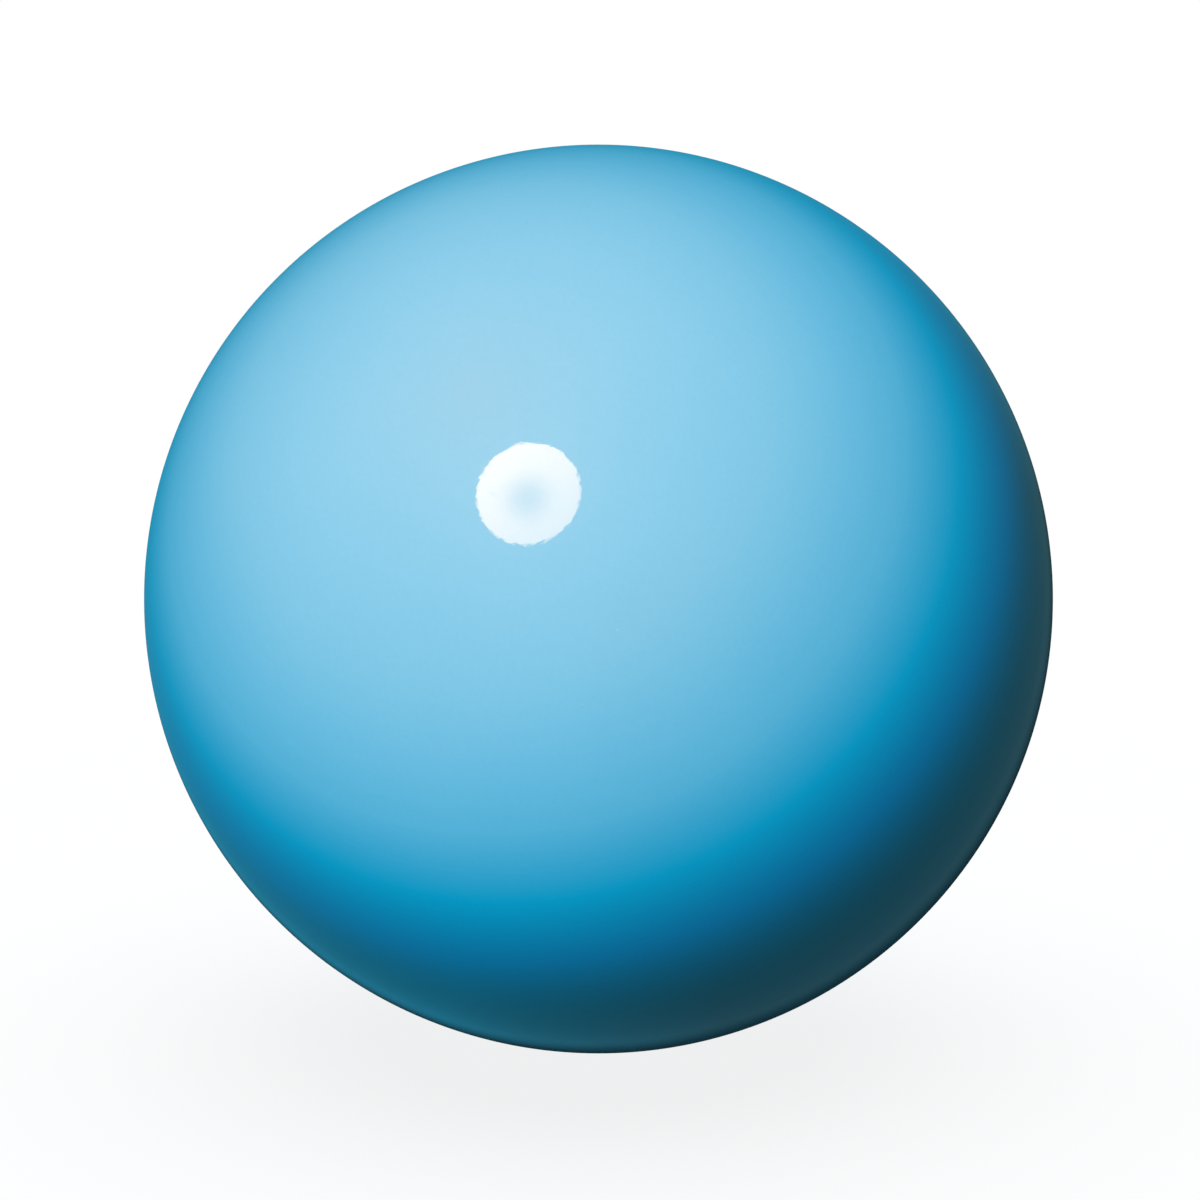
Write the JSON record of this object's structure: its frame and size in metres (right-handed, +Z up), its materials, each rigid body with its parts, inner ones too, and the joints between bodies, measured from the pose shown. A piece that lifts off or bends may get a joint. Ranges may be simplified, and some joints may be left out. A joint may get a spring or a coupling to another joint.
{
  "type": "rhythmic gymnastics ball",
  "caption": "Hollow rubber ball with a glossy sky-blue skin, made of bonded half shells, with an inner valve, its pull-out plug and a balance pad, for rhythmic gymnastics routines.",
  "frame": {"origin": "the ball's centre", "axes": "+Z up as the ball lies in the picture, +Y along the valve axis and out of the valve at the back, +X to the right as the picture looks at it"},
  "size_m": [0.185, 0.185, 0.185],
  "materials": {
    "lacquered_rubber": "gloss",
    "bare_rubber": "matte",
    "valve_rubber": "satin",
    "plug_plastic": "satin"
  },
  "bodies": {
    "ball": {"front_shell_half": "lacquered_rubber", "rear_shell_half": "lacquered_rubber", "seam_strip": "bare_rubber", "valve_housing": "valve_rubber", "balance_pad": "bare_rubber"},
    "plug": {"valve_plug": "plug_plastic"}
  },
  "joints": [
    {"name": "plug_pull", "type": "slide", "parent": "ball", "child": "plug", "axis": [0, 1, 0], "range_m": [0, 0.02]}
  ]
}
